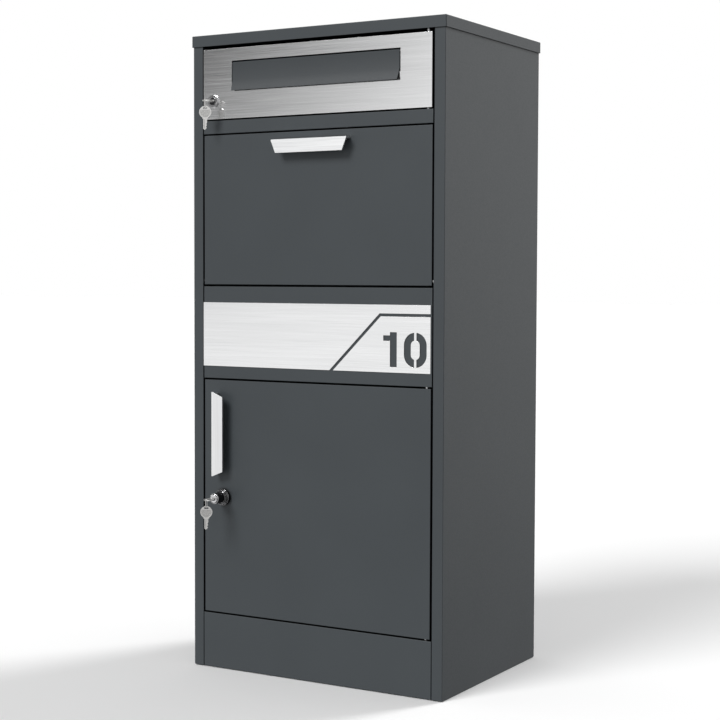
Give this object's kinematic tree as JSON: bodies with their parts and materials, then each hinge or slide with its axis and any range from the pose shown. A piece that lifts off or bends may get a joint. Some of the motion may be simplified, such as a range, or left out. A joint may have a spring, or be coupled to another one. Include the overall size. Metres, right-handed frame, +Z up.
{
  "type": "parcel mailbox",
  "caption": "Free-standing steel parcel box: slotted letterbox door above a pull-down parcel hatch with tray and a locked removal door.",
  "frame": {"origin": "on the floor, at the centre of the four anchor holes in the base plate", "axes": "+Z up, -Y out of the door side, +X to the right as seen from the door side"},
  "size_m": [0.454, 0.391, 1.012],
  "materials": {
    "powder_coat": "anthracite fine-texture powder coat on steel sheet",
    "brushed_stainless": "stainless steel, horizontally brushed",
    "zinc_steel": "bright zinc-plated steel",
    "chrome_lock": "chrome-plated zinc die casting",
    "nickel_key": "nickel-plated key blank",
    "nylon_bush": "natural nylon"
  },
  "bodies": {
    "cabinet": {"cabinet_shell": "powder_coat", "lid": "powder_coat", "base_plate": "powder_coat", "plinth_panel": "powder_coat", "middle_panel": "powder_coat", "crossbar": "powder_coat", "header_rail": "powder_coat", "panel_rivets": "zinc_steel", "mail_shelf": "powder_coat", "mail_door_bushes": "nylon_bush", "removal_door_bushes": "nylon_bush", "parcel_door_bushes": "nylon_bush", "street_plate": "brushed_stainless", "number_plate": "brushed_stainless"},
    "mail_door": {"mail_door_pan": "powder_coat", "mail_door_facing": "brushed_stainless", "mail_door_pins": "zinc_steel", "flap_pin": "zinc_steel", "flap_ears": "powder_coat", "mail_lock_housing": "chrome_lock", "mail_lock_nut": "zinc_steel"},
    "mail_flap": {"mail_flap": "powder_coat"},
    "mail_lock": {"mail_lock_plug": "chrome_lock", "mail_lock_cam": "zinc_steel", "mail_cam_screw": "zinc_steel", "mail_key": "nickel_key"},
    "mail_spare_key": {"mail_key_ring": "nickel_key", "mail_spare_key": "nickel_key"},
    "parcel_door": {"parcel_door_pan": "powder_coat", "parcel_door_pins": "zinc_steel", "tray_cheek_left": "powder_coat", "tray_cheek_right": "powder_coat", "parcel_tray": "powder_coat", "parcel_handle": "brushed_stainless", "parcel_handle_screws": "zinc_steel"},
    "removal_door": {"removal_door_pan": "powder_coat", "removal_door_pins": "zinc_steel", "removal_handle": "brushed_stainless", "removal_handle_screws": "zinc_steel", "removal_lock_housing": "chrome_lock", "removal_lock_nut": "zinc_steel"},
    "removal_lock": {"removal_lock_plug": "chrome_lock", "removal_lock_cam": "zinc_steel", "removal_cam_screw": "zinc_steel", "removal_key": "nickel_key"},
    "removal_spare_key": {"removal_key_ring": "nickel_key", "removal_spare_key": "nickel_key"}
  },
  "joints": [
    {"name": "mail_door_hinge", "type": "hinge", "parent": "cabinet", "child": "mail_door", "pos_m": [0.1942, -0.161, 0.935], "axis": [0, 0, 1], "range_deg": [0, 105]},
    {"name": "mail_flap_hinge", "type": "hinge", "parent": "mail_door", "child": "mail_flap", "pos_m": [0, -0.1659, 0.9648], "axis": [-1, 0, 0], "range_deg": [0, 70], "stiffness_Nm_per_rad": 0.03, "springref_deg": -20.05},
    {"name": "mail_lock_turn", "type": "hinge", "parent": "mail_door", "child": "mail_lock", "pos_m": [-0.1855, -0.1675, 0.907], "axis": [0, 1, 0], "range_deg": [-90, 0]},
    {"name": "mail_spare_key_swing", "type": "hinge", "parent": "mail_lock", "child": "mail_spare_key", "pos_m": [-0.1855, -0.1917, 0.907], "axis": [0, 1, 0], "range_deg": [-35, 35]},
    {"name": "parcel_door_hinge", "type": "hinge", "parent": "cabinet", "child": "parcel_door", "pos_m": [0, -0.1615, 0.6235], "axis": [1, 0, 0], "range_deg": [0, 50]},
    {"name": "removal_door_hinge", "type": "hinge", "parent": "cabinet", "child": "removal_door", "pos_m": [0.1942, -0.161, 0.279], "axis": [0, 0, 1], "range_deg": [0, 105]},
    {"name": "removal_lock_turn", "type": "hinge", "parent": "removal_door", "child": "removal_lock", "pos_m": [-0.1671, -0.1675, 0.2784], "axis": [0, 1, 0], "range_deg": [-90, 0]},
    {"name": "removal_spare_key_swing", "type": "hinge", "parent": "removal_lock", "child": "removal_spare_key", "pos_m": [-0.1671, -0.216, 0.2784], "axis": [0, 1, 0], "range_deg": [-35, 35]}
  ]
}
